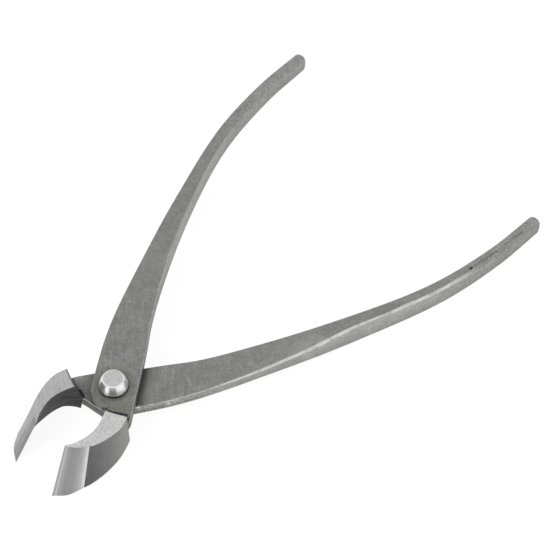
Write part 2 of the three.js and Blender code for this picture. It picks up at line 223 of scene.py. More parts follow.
def bar_object(materials):
    stations = bar_stations()
    first, last = stations[0]["run"], stations[-1]["run"]
    nudge = (last - first) / 4000  # step for the bar's direction
    rings, sides = [], None
    tilts = [dict(run=PLATE_LENGTH + HANDLE_LENGTH * a, tilt=PLATE_THICKNESS * t) for a, t in TILT_SHARES]

    def add(run, shrink_w, shrink_h, advance):
        nonlocal sides
        low, high = max(run - nudge, first), min(run + nudge, last)
        rise = follow(stations, "bow", high) - follow(stations, "bow", low)
        length = hypot(high - low, rise)
        tx, ty = (high - low) / length, rise / length
        at = {key: follow(stations, key, run)
              for key in ("bow", "width", "height", "rise", "corner", "crown")}
        w, h = at["width"] - 2 * shrink_w, at["height"] - 2 * shrink_h
        corner = min(at["corner"] + shrink_w * .5, w * .45, h * .45)
        flat, sides = ring(w, h, corner, at["crown"])
        tilt = follow(tilts, "tilt", run)
        flat = [(x, y + tilt * (.5 + x / w) * (.5 - y / h)) for x, y in flat]
        rings.append([(run + tx * advance - ty * x, at["bow"] + ty * advance + tx * x, at["rise"] + y)
                      for x, y in flat])

    for i in range(BAR_RINGS + 1):
        add(first + (last - first) * i / BAR_RINGS, 0, 0, 0)
    for angle in (15, 30, 45, 60, 72, 82):
        back = 1 - cos(radians(angle))
        add(last, END_ACROSS * back, END_UP * back, END_ALONG * sin(radians(angle)))
    size = len(rings[0])
    verts = [p for r in rings for p in r]
    faces, slots = [], []
    for k in range(len(rings) - 1):
        for i in range(size):
            j = (i + 1) % size
            faces.append((k * size + i, k * size + j, (k + 1) * size + j, (k + 1) * size + i))
            slots.append(SIDE if sides[i] else BLASTED)
    faces.append(tuple(range(size - 1, -1, -1)))
    slots.append(BLASTED)
    faces.append(tuple((len(rings) - 1) * size + i for i in range(size)))
    slots.append(SIDE)
    return mesh_object("bar", verts, faces, slots, materials)


def keep_object(neck_end, materials):
    """Prism that leaves a blunt nose and the neck of the bar at the joint."""
    direction = hypot(1, PLATE_SLOPE)
    edge_out = PLATE_WIDTH / 2 * direction - PLATE_OFFSET
    nose_slope = (NOSE_SHOULDER_OUT + NOSE_INNER) / (NOSE_REACH - NOSE_SHOULDER_REACH)
    corner_x = (NOSE_SHOULDER_OUT + nose_slope * NOSE_SHOULDER_REACH - edge_out) / (PLATE_SLOPE - nose_slope)
    start_x = corner_x + NOSE_ROUNDING / direction
    a = Vector((start_x, edge_out + start_x * PLATE_SLOPE))
    b = Vector((corner_x, edge_out + corner_x * PLATE_SLOPE))
    c = Vector((-NOSE_SHOULDER_REACH, NOSE_SHOULDER_OUT))
    far, beyond = HANDLE_REACH + PLATE_WIDTH, BOW + PLATE_WIDTH
    outline = [(far, beyond), (start_x, beyond)]
    for i in range(11):
        t = i / 10
        outline.append(tuple(a * (1 - t) ** 2 + 2 * b * t * (1 - t) + c * t * t))
    step = TOP["step"]
    outline += [(-NOSE_REACH, -NOSE_INNER), (-NECK_REACH, -NECK_INNER),
                (-step, -NECK_INNER - neck_end * (NECK_OUTER - NECK_INNER)), (-step, -NECK_OUTER),
                (-step / 2, -NECK_OUTER), (-step / 2, -beyond), (far, -beyond)]
    count = len(outline)
    verts = [(x, y, z) for z in (-CUTTER, CUTTER) for x, y in outline]
    faces = [(i, (i + 1) % count, count + (i + 1) % count, count + i) for i in range(count)]
    faces += [tuple(range(count - 1, -1, -1)), tuple(range(count, 2 * count))]
    return mesh_object("keep", verts, faces, [WALL] * len(faces), materials)


def flare_object(materials):
    """Extra width of the lower plate, a border that swells from the handle side to the jaw."""
    def edge(x):
        return x * PLATE_SLOPE - PLATE_WIDTH / 2 * hypot(1, PLATE_SLOPE) - PLATE_OFFSET

    start, end, step = PLATE_LENGTH / 2, -BOTTOM["step"], TOP["step"]
    outline = [(start, edge(start) + PLATE_WIDTH / 2)]
    for i in range(FLARE_STEPS + 1):
        t = i / FLARE_STEPS
        x = start + (end - start) * t
        fade = 1 - max((t - .85) / .15, 0) ** 2 / 2
        outline.append((x, edge(x) - LOWER_FLARE * sin(min(t / .55, 1) * pi / 2) ** 2 * fade))
    outline += [(-step, -NECK_OUTER), (-step, edge(0)), (0, edge(0) + PLATE_WIDTH / 2)]
    count, r = len(outline), FLARE_BORDER
    verts = [(x, y, LAP_GAP / 2) for x, y in outline]
    for inwards, down in ((0, r), (r * .35, r * .25), (r, 0)):
        verts += [(x, y + inwards * (0 < i < FLARE_STEPS + 2), PLATE_THICKNESS - down)
                  for i, (x, y) in enumerate(outline)]
    faces = [(k * count + i, k * count + j, (k + 1) * count + j, (k + 1) * count + i)
             for k in range(3) for i in range(count) for j in [(i + 1) % count]]
    slots = [SIDE] * len(faces) + [BLASTED] * 2
    faces += [tuple(range(count - 1, -1, -1)), tuple(range(3 * count, 4 * count))]
    obj = mesh_object("flare", verts, faces, slots, materials)
    face_out(obj)
    return obj


# Jaw


def smooth(points, steps):
    """Centripetal Catmull-Rom curve through the points, in steps of even length."""
    p = np.array(points, float)
    p = np.vstack([2 * p[0] - p[1], p, 2 * p[-1] - p[-2]])
    dense = [p[1]]
    for i in range(1, len(p) - 2):
        p0, p1, p2, p3 = p[i - 1:i + 3]
        t0 = 0
        t1 = t0 + np.linalg.norm(p1 - p0) ** .5
        t2 = t1 + np.linalg.norm(p2 - p1) ** .5
        t3 = t2 + np.linalg.norm(p3 - p2) ** .5
        for t in np.linspace(t1, t2, 13)[1:]:
            a1 = (t1 - t) / (t1 - t0) * p0 + (t - t0) / (t1 - t0) * p1
            a2 = (t2 - t) / (t2 - t1) * p1 + (t - t1) / (t2 - t1) * p2
            a3 = (t3 - t) / (t3 - t2) * p2 + (t - t2) / (t3 - t2) * p3
            b1 = (t2 - t) / (t2 - t0) * a1 + (t - t0) / (t2 - t0) * a2
            b2 = (t3 - t) / (t3 - t1) * a2 + (t - t1) / (t3 - t1) * a3
            dense.append((t2 - t) / (t2 - t1) * b1 + (t - t1) / (t2 - t1) * b2)
    dense = np.array(dense)
    run = np.concatenate([[0], np.cumsum(np.linalg.norm(np.diff(dense, axis=0), axis=1))])
    at = np.linspace(0, run[-1], steps + 1)
    return np.stack([np.interp(at, run, dense[:, k]) for k in range(2)], 1)


INNER_STEPS, BEVEL_STEPS, OUTER_STEPS = 44, 12, 36


def jaw_outline(s):
    """Inner face, cutting edge, bevel and outer face as one outline, seen from above."""
    land = s["edge"] - LAND
    inner = [(s["step"] + a * (land - s["step"]), CLOSE_GAP + b * (s["cavity"] - CLOSE_GAP))
             for a, b in s["inner"]]
    inner.append((land, CLOSE_GAP))
    reach, out = s["edge"] - s["bevel"], s["outer"][0][1] * s["half"]
    length = hypot(s["bevel"], out - CLOSE_GAP)
    middle = ((s["edge"] + reach) / 2 + s["crown"] * (out - CLOSE_GAP) / length,
              (CLOSE_GAP + out) / 2 + s["crown"] * s["bevel"] / length)
    step = s["step"] - s["slant"]
    outer = [(reach + a * (step - reach), b * s["half"]) for a, b in s["outer"]]
    return np.vstack([smooth(inner, INNER_STEPS),
                      smooth([(s["edge"], CLOSE_GAP), middle, (reach, out)], BEVEL_STEPS)[:-1],
                      smooth(outer, OUTER_STEPS)])


def inset(outline, amount):
    """Outline moved inwards, but not at the cutting edge."""
    before, after = np.roll(outline, 1, 0), np.roll(outline, -1, 0)
    d0 = outline - before
    d1 = after - outline
    d0 /= np.linalg.norm(d0, axis=1)[:, None] + 1e-12
    d1 /= np.linalg.norm(d1, axis=1)[:, None] + 1e-12
    normal = np.stack([-(d0 + d1)[:, 1], (d0 + d1)[:, 0]], 1)
    normal /= np.linalg.norm(normal, axis=1)[:, None] + 1e-12
    area = np.sum(outline[:, 0] * after[:, 1] - after[:, 0] * outline[:, 1])
    index = np.arange(len(outline))
    near = np.minimum(np.abs(index - INNER_STEPS - .5) / 10, 1)
    return outline + normal * (np.sign(area) * amount * near)[:, None]


def jaw_object(side, materials):
    trim = LOWER_TRIM if side > 0 else 0
    shorter = trim * TRIM_REACH
    top = jaw_outline(TOP)
    bottom = jaw_outline(dict(BOTTOM, edge=BOTTOM["edge"] - shorter, bevel=BOTTOM["bevel"] - shorter))
    top_slope = (TOP_RISE - TOP_RISE_AT_EDGE) / (TOP["edge"] - TOP["step"])
    bottom_slope = (BOTTOM_DROP_AT_EDGE - trim - BOTTOM_DROP) / (BOTTOM["bevel"] - shorter)
    start = BOTTOM["edge"] - BOTTOM["bevel"]
    z_top = TOP_RISE - top_slope * (top[:, 0] - TOP["step"])
    z_bottom = -BOTTOM_DROP - bottom_slope * np.maximum(bottom[:, 0] - start, 0)
    high = np.column_stack([top, z_top])
    low = np.column_stack([bottom, z_bottom])
    share = (-z_bottom / (z_top - z_bottom))[:, None]
    middle = low + share * (high - low)
    blend = INNER_STEPS * .3
    corner = np.array([NECK_REACH, NECK_INNER, 0]) - middle[0]
    for i in range(INNER_STEPS):
        if i < blend:
            middle[i] += corner * (1 - i / blend) ** 2
    # Lower border, lower half, upper half and upper border
    levels = []
    for amount, up in ((.32, 0), (.12, .09), (.03, .22)):
        levels.append(np.column_stack([inset(bottom, amount), z_bottom + up]))
    levels += [low + (middle - low) * t + np.array([0, 0, .32 * (1 - t) ** 6])
               for t in np.linspace(0, 1, 8)[:-1]]
    levels += [middle + (high - middle) * t - np.array([0, 0, .14 * t ** 6]) for t in np.linspace(0, 1, 9)]
    for amount, down in ((.04, .05), (.14, 0)):
        levels.append(np.column_stack([inset(top, amount), z_top - down]))
    size = len(top)
    verts = [(-x, side * y, z) for level in levels for x, y, z in level]
    faces, slots = [], []
    for k in range(len(levels) - 1):
        for i in range(size):
            j = (i + 1) % size
            faces.append((k * size + i, k * size + j, (k + 1) * size + j, (k + 1) * size + i))
            if i < INNER_STEPS:
                slots.append(HOLLOW)
            elif i <= INNER_STEPS + 1:
                slots.append(EDGE)
            elif i < INNER_STEPS + 1 + BEVEL_STEPS:
                slots.append(BEVEL)
            else:
                slots.append(FORGED)
            if k >= len(levels) - 3 and slots[-1] in (HOLLOW, FORGED, BEVEL):
                slots[-1] = GROUND
    faces.append(tuple(range(size - 1, -1, -1)))
    slots.append(FORGED)
    faces.append(tuple((len(levels) - 1) * size + i for i in range(size)))
    slots.append(GROUND)
    obj = mesh_object("jaw", verts, faces, slots, materials)
    face_out(obj)
    return obj


def face_out(obj):
    work = bmesh.new()
    work.from_mesh(obj.data)
    bmesh.ops.recalc_face_normals(work, faces=work.faces)
    if work.calc_volume(signed=True) < 0:
        bmesh.ops.reverse_faces(work, faces=work.faces)
    work.to_mesh(obj.data)
    work.free()


def finish_mesh(obj, angle=34):
    """Smooth shading with flat large faces, and sharp edges at corners and where one finish ends."""
    soft = ({BLASTED, SIDE}, {BLASTED, WALL}, {GROUND, HOLLOW}, {GROUND, FORGED}, {GROUND, BEVEL})
    work = bmesh.new()
    work.from_mesh(obj.data)
    bmesh.ops.remove_doubles(work, verts=work.verts, dist=1e-5)
    bmesh.ops.dissolve_degenerate(work, edges=work.edges, dist=1e-5)
    for face in work.faces:
        face.smooth = True
    for edge in work.edges:
        if len(edge.link_faces) != 2:
            continue
        a, b = edge.link_faces
        mixed = {a.material_index, b.material_index}
        part = len(mixed) == 2 and mixed not in soft
        edge.smooth = not (part or edge.calc_face_angle(0) > radians(angle))
    work.to_mesh(obj.data)
    work.free()
    even = obj.modifiers.new("even", "WEIGHTED_NORMAL")
    even.keep_sharp = True
    even.weight = 80
    graph = bpy.context.evaluated_depsgraph_get()
    result = bpy.data.meshes.new_from_object(obj.evaluated_get(graph))
    obj.modifiers.clear()
    old = obj.data
    obj.data = result
    bpy.data.meshes.remove(old)


def mark_bevel(obj, side):
    """Keep on every vertex the way across the bevel, from 0 at the cutting edge to 1 at the outer face."""
    trim = LOWER_TRIM if side > 0 else 0
    ends = []
    for s, rise in ((TOP, TOP_RISE_AT_EDGE), (BOTTOM, -BOTTOM_DROP_AT_EDGE + trim)):
        edge = s["edge"] - (trim * TRIM_REACH if s is BOTTOM else 0)
        back = TOP_RISE if s is TOP else -BOTTOM_DROP
        ends.append((Vector((-edge, side * CLOSE_GAP, rise)),
                     Vector((s["bevel"] - s["edge"], side * s["outer"][0][1] * s["half"], back))))
    (edge_top, out_top), (edge_low, out_low) = ends

    def away(p, a, b):
        along = (b - a).normalized()
        return ((p - a) - along * (p - a).dot(along)).length

    across = obj.data.attributes.new("across", "FLOAT", "POINT")
    for i, vertex in enumerate(obj.data.vertices):
        near_edge, near_out = away(vertex.co, edge_top, edge_low), away(vertex.co, out_top, out_low)
        across.data[i].value = near_edge / max(near_edge + near_out, 1e-6)


def lathe(name, profile, materials, slots, steps=144):
    verts, faces, index = [], [], []
    count = len(profile)
    for k in range(steps):
        angle = 2 * pi * k / steps
        verts += [(r * cos(angle), r * sin(angle), z) for r, z in profile]
    for k in range(steps):
        n = (k + 1) % steps
        for i in range(count - 1):
            faces.append((k * count + i, n * count + i, n * count + i + 1, k * count + i + 1))
            index.append(slots[i])
    obj = mesh_object(name, verts, faces, index, materials)
    work = bmesh.new()
    work.from_mesh(obj.data)
    bmesh.ops.remove_doubles(work, verts=work.verts, dist=1e-4)
    work.to_mesh(obj.data)
    work.free()
    face_out(obj)
    return obj


def round_nose(obj):
    """Small rounding along the nose's upper and lower borders."""
    work = bmesh.new()
    work.from_mesh(obj.data)
    bmesh.ops.dissolve_limit(work, angle_limit=radians(.4), verts=work.verts, edges=work.edges,
                             delimit={"MATERIAL"})
    picked = []
    for edge in work.edges:
        a, b = (v.co for v in edge.verts)
        middle = (a + b) / 2
        if len(edge.link_faces) != 2 or edge.calc_face_angle(0) < radians(50):
            continue
        if abs(a.z - b.z) < .05 and -NECK_REACH + .3 < middle.x < -2.5 and middle.y > -NECK_INNER:
            picked.append(edge)
    if picked:
        bmesh.ops.bevel(work, geom=picked, offset=NOSE_BORDER, segments=3, profile=.5, affect="EDGES",
                        clamp_overlap=True)
    work.to_mesh(obj.data)
    work.free()


def arm_object(name, side, materials):
    arm = bar_object(materials)
    face_out(arm)
    boolean(arm, keep_object(.3 if side > 0 else .65, materials), "INTERSECT")
    round_nose(arm)
    if side < 0:
        boolean(arm, flare_object(materials), "UNION")
        arm.data.transform(Matrix.Rotation(pi, 4, "X"))
    boolean(arm, jaw_object(-side, materials), "UNION")
    reach = PLATE_THICKNESS + 5
    bore = lathe("bore", [(0, -reach), (SHANK + FIT_GAP, -reach), (SHANK + FIT_GAP, reach), (0, reach)],
                 materials, [BLASTED] * 3, 96)
    boolean(arm, bore, "DIFFERENCE")
    finish_mesh(arm)
    mark_bevel(arm, -side)
    arm.data.transform(Matrix.Rotation(radians(side * OPENING / 2), 4, "Z"))
    arm.data.transform(Matrix.Scale(MM, 4) @ Matrix.Translation((0, 0, LAP_LEVEL)))
    arm.name = arm.data.name = name
    return arm


# Materials


def gray(value):
    """Linear value of a grey that is written as 0 to 255."""
    return (value / 255) ** 2.2


class Finish:
    """One material. Lengths in its nodes are millimetres on the object itself."""

    def __init__(self, name, rough, metal=1.0):
        self.material = bpy.data.materials.new(name)
        self.material.use_nodes = True
        self.tree = self.material.node_tree
        self.shader = self.tree.nodes["Principled BSDF"]
        self.shader.inputs["Metallic"].default_value = metal
        self.rough = rough
        self.where = self.vector("SCALE", self.add("TexCoord").outputs["Object"], scale=1 / MM)

    def add(self, kind, **settings):
        node = self.tree.nodes.new("ShaderNode" + kind)
        for key, value in settings.items():
            setattr(node, key, value)
        return node

    def put(self, socket, value):
        if isinstance(value, bpy.types.NodeSocket):
            self.tree.links.new(value, socket)
        else:
            socket.default_value = value

    def math(self, operation, a, b=0.0, clamp=False):
        node = self.add("Math", operation=operation, use_clamp=clamp)
        self.put(node.inputs[0], a)
        self.put(node.inputs[1], b)
        return node.outputs[0]

    def times(self, a, b):
        return self.math("MULTIPLY", a, b)

    def split(self, vector):
        node = self.add("SeparateXYZ")
        self.put(node.inputs[0], vector)
        return node.outputs

    def vector(self, operation, a, b=None, scale=None):
        node = self.add("VectorMath", operation=operation)
        self.put(node.inputs[0], a)
        if b is not None:
            self.put(node.inputs[1], b)
        if scale is not None:
            self.put(node.inputs["Scale"], scale)
        return node.outputs["Value" if operation in ("DOT_PRODUCT", "LENGTH") else "Vector"]

    def lines(self, direction, across, along, detail=3.0):
        """Noise drawn out to lines: how fine it is across them and along them, per millimetre."""
        way = Vector(direction).normalized()
        side = way.orthogonal().normalized()
        node = self.add("CombineXYZ")
        for i, axis in enumerate((way * along, side * across, way.cross(side) * across)):
            self.put(node.inputs[i], self.vector("DOT_PRODUCT", self.where, axis))
        return self.noise(node.outputs[0], 1, detail, .6)

    def layers(self, scale):
        """Noise drawn out along the axes: how fine it is along each, per millimetre."""
        return self.noise(self.vector("MULTIPLY", self.where, scale), 1, 3, .6)

    def noise(self, vector, scale=1.0, detail=3.0, rough=.55):
        """Noise between -1 and 1, mostly within half of that."""
        node = self.add("TexNoise")
        self.put(node.inputs["Vector"], vector)
        node.inputs["Scale"].default_value = scale
        node.inputs["Detail"].default_value = detail
        node.inputs["Roughness"].default_value = rough
        return self.spread(node.outputs[0])

    def spread(self, value):
        """A value between 0 and 1 as one between -1 and 1."""
        return self.math("SUBTRACT", self.times(value, 2.0), 1.0)

    def step(self, value, low, high, start=0.0, end=1.0):
        """Smooth change from start to end as the value goes from low to high."""
        node = self.add("MapRange", interpolation_type="SMOOTHSTEP")
        self.put(node.inputs["Value"], value)
        for key, number in (("From Min", low), ("From Max", high), ("To Min", start), ("To Max", end)):
            self.put(node.inputs[key], number)
        return node.outputs[0]

    def curve(self, value, stops):
        """Value read off a line through (place, value) stops, places from 0 to 1."""
        node = self.add("ValToRGB")
        ramp = node.color_ramp
        ramp.interpolation = "EASE"
        while len(ramp.elements) < len(stops):
            ramp.elements.new(.5)
        for element, (place, level) in zip(ramp.elements, stops):
            element.position = place
            element.color = (level, level, level, 1)
        self.put(node.inputs[0], value)
        return node.outputs[0]

    def blend(self, factor, a, b):
        node = self.add("Mix", data_type="FLOAT")
        self.put(node.inputs[0], factor)
        self.put(node.inputs[2], a)
        self.put(node.inputs[3], b)
        return node.outputs[0]

    def vary(self, level, change, amount):
        """Level, raised and lowered by a change between -1 and 1."""
        return self.times(level, self.math("ADD", self.times(change, amount), 1.0))

    def from_line(self, start, end):
        """Distance from the stretch between two points."""
        way = Vector(end) - Vector(start)
        offset = self.vector("SUBTRACT", self.where, start)
        along = self.math("DIVIDE", self.vector("DOT_PRODUCT", offset, way), way.length_squared, True)
        return self.vector("LENGTH", self.vector("SUBTRACT", offset, self.vector("SCALE", way, scale=along)))

    def worn_and_highlit_edge(self, first, low, high):
        """Share of wear and of a painted highlight on edges that look up, mostly those towards -Y.

        It grows from first at the joint to 1, and fades out along X between low and high.
        """
        _, towards_y, towards_z = self.split(self.add("TexCoord").outputs["Normal"])
        run = self.split(self.where)[0]
        up = self.times(self.step(towards_z, .25, .55), self.step(towards_z, .985, .88))
        side = self.math("ADD", self.step(towards_y, -.05, -.3), self.step(towards_y, .05, .3, 0, .25))
        reach = self.times(self.step(run, 5, 40, first, 1), self.step(run, low, high, 1, 0))
        ridge = self.times(self.times(up, side), reach)
        return self.times(ridge, self.step(self.noise(self.where, .3, 2), -.6, .3, .5, 1.0))

    def nose_rim_highlight(self):
        """Share of painted highlight on the rounded border of a plate's nose, where it looks towards -X and
        up.
        """
        towards_x, _, towards_z = self.split(self.add("TexCoord").outputs["Normal"])
        rim = self.times(self.step(towards_x, -.1, -.3), self.step(towards_z, .2, .4))
        return self.times(rim, self.step(self.split(self.where)[0], 0, -3))

    def mark(self, level, marks):
        """Level times a factor along each of the stretches (start, end, half width, factor)."""
        for start, end, width, factor in marks:
            reach = self.math("ADD", self.from_line(start, end),
                              self.times(self.noise(self.where, 1.1, 2), width * .5))
            level = self.times(level, self.step(reach, width * .6, width * 1.2, factor, 1.0))
        return level

    def corner_shade(self, level, reach, darkest):
        """Painted shade: darker in corners and slits, by how closed in they are."""
        node = self.add("AmbientOcclusion", samples=8)
        node.inputs["Distance"].default_value = reach * MM
        open_share = self.step(node.outputs["AO"], .35, 1.0, darkest, 1.0)
        return self.times(level, open_share)

    def finish(self, level, tint=(1, 1, .975), rough=None, bump=None, height=.02, warm=0.0):
        """Material of this level of grey. Warm is how much blue the tint lacks besides."""
        warm = self.math("ADD", self.times(self.noise(self.where, .2, 2), .05), warm)
        shade = self.add("CombineXYZ")
        for i, part in enumerate(tint):
            self.put(shade.inputs[i], self.math("SUBTRACT", part, warm) if i == 2 else part)
        color = self.vector("SCALE", shade.outputs[0], scale=level)
        self.put(self.shader.inputs["Base Color"], color)
        self.put(self.shader.inputs["Roughness"], self.rough if rough is None else rough)
        if bump is not None:
            node = self.add("Bump")
            node.inputs["Strength"].default_value = .5
            node.inputs["Distance"].default_value = height * MM
            self.put(node.inputs["Height"], bump)
            self.put(self.shader.inputs["Normal"], node.outputs[0])
        return self.material


def blasted(name, tone, seed, shine, fade, marks, upright, rise, near_jaw=.8, warm=.07, reach=(-10, 7)):
    """Matt grey surface from shot blasting: fine grain, faint clouds, a few light scratches.

    Shine is how much lighter the rubbed edges are, partly from wear and partly a painted highlight, which
    fade says the reach of. Upright is for the flanks, which are painted lighter upwards by that share, a
    painted shading. Rise is how much lighter the grips are than the plates. Near the jaw, from the second of
    reach to the first, the tone falls to near_jaw of its value.
    """
    f = Finish(name, .52, .6)
    shifted = f.vector("ADD", f.where, (seed, seed * 1.7, 0))
    grain = f.noise(shifted, 1.25, 3, .75)
    fine = f.noise(shifted, 5, 1)
    x, _, z = f.split(f.where)
    level = f.step(x, 85, 150, gray(tone), gray(tone + rise))
    level = f.times(level, f.step(x, *reach, near_jaw, 1))
    level = f.vary(level, f.lines((1, 1, 0), 1.2, .1), f.step(x, 20, 50, .34, 0))
    if upright:
        # Painted shading: flanks lighter upwards, and near the joint darker low down
        level = f.times(level, f.step(z, 2.5, 11.5, 1 - upright, 1 + upright))
        level = f.times(level, f.step(x, 2, 28, f.step(z, 4, 6.2, .7, 1.1), 1))
        level = f.vary(level, f.noise(shifted, .8, 2), f.step(x, 32, 10, 0, 1.0))
    level = f.vary(level, grain, f.step(x, 80, 140, .5, .8))
    level = f.vary(level, f.noise(shifted, .14, 3), .2)
    level = f.vary(level, f.noise(shifted, .5, 2), .25)
    for direction, limit in (((1, .45 + seed / 30, 0), .36), ((1, -1.6 + seed / 30, 0), .4)):
        lines = f.step(f.lines(direction, 1.6, .12, 1.5), limit, limit + .12)
        patch = f.step(f.noise(shifted, .07, 1), .0, .35)
        level = f.math("ADD", level, f.times(f.times(lines, patch), .1))
    level = f.mark(level, marks)
    # The rounded edge that looks up and towards -Y is lighter: partly rubbed bright, partly a painted
    # highlight
    rubbed_and_lit = f.worn_and_highlit_edge(*fade)
    level = f.math("ADD", level, f.times(rubbed_and_lit, shine))
    # A painted highlight on the nose's rounded border
    level = f.math("ADD", level, f.times(f.nose_rim_highlight(), .12))
    # Painted shade in corners, beside steps and between the plates
    level = f.corner_shade(level, 4.5, .2)
    rough = f.blend(rubbed_and_lit, f.math("ADD", .52, f.times(grain, .08)), .36)
    bump = f.math("ADD", grain, f.times(fine, .5))
    warm = f.step(x, 14, -2, 0, warm)
    return f.finish(level, rough=rough, bump=bump, height=.03, warm=warm)


def brushed(name, tone, direction=(1, 0, 0), amount=.0, grain=.0, marks=()):
    """Ground flat with straight fine lines across it."""
    rough = .3
    f = Finish(name, rough)
    lines = f.lines(direction, 1.7, .1)
    level = f.vary(gray(tone), lines, amount)
    level = f.vary(level, f.noise(f.where, .35, 2), .1)
    level = f.vary(level, f.noise(f.where, 1.2, 2), grain)
    # Painted shade in corners and slits
    level = f.mark(f.corner_shade(level, 1.2, .55), marks)
    return f.finish(level, (1, 1, 1), f.math("ADD", rough, f.times(lines, .12)), lines, .012)


def bevel(name, stops, direction, amount, fine):
    """Ground bevel with grinding lines, and a painted reflection across it that is brighter along its
    borders.
    """
    f = Finish(name, .3)
    across = f.add("Attribute", attribute_name="across").outputs["Fac"]
    ragged = f.times(f.noise(f.where, 1.0, 3), f.step(across, .6, .9, 0, .07))
    level = f.curve(f.math("ADD", across, ragged), [(place, gray(tone)) for place, tone in stops])
    lines = f.lines(direction, fine, .1)
    level = f.vary(level, lines, amount)
    level = f.vary(level, f.noise(f.where, .3, 2), .08)
    return f.finish(level, (1, 1, 1.005), f.math("ADD", .3, f.times(lines, .1)), lines, .012)


def hollow(name, tone):
    """Inner face, ground hollow with a small wheel: lines that run round it."""
    f = Finish(name, .42)
    f.shader.inputs["Specular Tint"].default_value = (.6, .6, .6, 1)
    lines = f.layers((.12, .12, 1.0))
    level = f.vary(gray(tone), lines, 1.5)
    level = f.vary(level, f.noise(f.where, .3, 2), .15)
    return f.finish(level, (1, 1, 1), f.math("ADD", .42, f.times(lines, .1)), lines, .03)


def forged(name, low_tone, high_tone):
    """Outer face of a jaw: dark near the bevel, lighter towards the plate, with faint upright lines."""
    f = Finish(name, .45)
    x, _, z = f.split(f.where)
    level = f.step(x, -32, -10, gray(low_tone), gray(high_tone))
    lines = f.layers((1.6, 1.6, .12))
    level = f.vary(level, lines, .2)
    level = f.vary(level, f.noise(f.where, .22, 3), .16)
    level = f.vary(level, f.noise(f.where, 1.3, 3), .2)
    level = f.times(level, f.step(z, 14.2, 15.3, 1, 1.25))
    # Painted shade in corners and slits
    level = f.corner_shade(level, 2, .4)
    return f.finish(level, (1, 1.005, .995), .45, f.noise(f.where, 2.4, 2), .02)


def wall(name, tone, low, middle, border, marks=()):
    """Sheared edge of a plate, painted with highlights along its upper border and near its foot, darker
    between. Low is where it starts along Z.
    """
    f = Finish(name, .5, .8)
    share = f.math("DIVIDE", f.math("SUBTRACT", f.split(f.where)[2], low), PLATE_THICKNESS, True)
    stops = [(0, .9), (.12, 1.2), (.25, 1), (.6, middle), (.82, middle), (.92, border), (1, border)]
    level = f.curve(share, [(place, gray(tone) * factor) for place, factor in stops])
    level = f.vary(level, f.layers((.8, .8, 2.0)), .4)
    level = f.vary(level, f.noise(f.where, .5, 2), .3)
    # Painted shade in corners, with the marks' painted shade
    return f.finish(f.mark(f.corner_shade(level, 2, .3), marks), bump=f.noise(f.where, 2.4, 2), height=.03)


def turned_steel(name, tone, rough, rings, mottle, streak=0.0):
    """Steel off a lathe: fine rings round the Z axis, which draw each reflection out across them."""
    f = Finish(name, rough)
    radius = f.vector("LENGTH", f.vector("MULTIPLY", f.where, (1, 1, 0)))
    grooves = f.add("TexNoise", noise_dimensions="1D")
    f.put(grooves.inputs["W"], f.math("ADD", radius, f.times(f.noise(f.where, .8, 1), .05)))
    grooves.inputs["Scale"].default_value = 7
    grooves.inputs["Detail"].default_value = 3
    lines = f.spread(grooves.outputs[0])
    level = f.vary(gray(tone), lines, rings)
    level = f.vary(level, f.noise(f.where, 1.1, 3), mottle)
    # Painted shade in corners, such as under the head
    level = f.corner_shade(level, .9, .2)
    if streak:
        f.shader.inputs["Anisotropic"].default_value = streak
        f.shader.inputs["Anisotropic Rotation"].default_value = .25
        f.put(f.shader.inputs["Tangent"], f.add("Tangent", direction_type="RADIAL", axis="Z").outputs[0])
    return f.finish(level, (1, 1, 1.004), rough, lines, .01)


# Marks on the faces: both ends, half width, and a factor on the tone, above 1 where the mark is bright.
# Pit and groove: painted shade along the lower handle's edge. Beside each jaw's step: a painted shadow.
PIT_SHADE = ((124.7, -57.1, 11.5), (125.1, -57.2, 11.5), .65, .2)
GROOVE_SHADE = [((118.9, -55.6, 11.7), (124.4, -57.1, 11.6), .35, .8),
          ((126.9, -57.4, 11.5), (137.6, -58.8, 11.3), .45, .7),
          ((141.9, -59.0, 11.3), (151, -59.6, 11.1), .5, .72)]
NEAR_STEP_SHADOW = [((-9.9, -6.9, 11.6), (-7.4, -15.0, 11.6), .8, .4),
             ((-9.6, -6.1, 11.6), (-6.4, -13.5, 11.6), .7, .4),
             ((-9.5, -5.1, 11.6), (-5.55, -12.1, 11.6), .48, .12),
             ((-9.0, -5.6, 11.6), (-8.7, -5.0, 11.6), .6, .2)]
NEAR_SCRATCHES = [((15.5, 6.6, 11.6), (17.8, 5.1, 11.6), .3, 1.15),
                  ((28.3, 23.3, 11.6), (30, 21.7, 11.6), .35, 1.12)]
# Painted shade in the corner at the upper jaw's step
NEAR_CORNER_SHADE = [((-8.55, -3.2, 9.4), (-8.65, -4.6, 11.4), .8, .15)]
FAR_STEP_SHADOW = [((-9.8, 6.9, 7), (-7.1, 14.9, 7), .5, .6), ((-5.9, 15.1, 7), (-8.9, 6.9, 7), .35, .4),
            ((-7.6, 9.6, 7), (-8.75, 6.6, 7), .7, .1)]
FAR_RIM = [((-7.96, 14.86, 15.7), (-11.0, 8.0, 15.7), .5, .3)]
# A painted highlight where the lower arm's edge comes out from under the upper one
PAINTED_GLINT = ((1.1, -9.85, 6.95), (1.8, -10.1, 6.95), .6, 2.5)
FAR_SCRATCHES = [((21.3, -7.8, 7), (20.5, -8.5, 7), .4, 1.4), ((20.5, -8.5, 7), (16.1, -12, 7), .3, 1.1),
                 ((23.6, -10.5, 7), (21.2, -16.8, 7), .35, 1.18)]
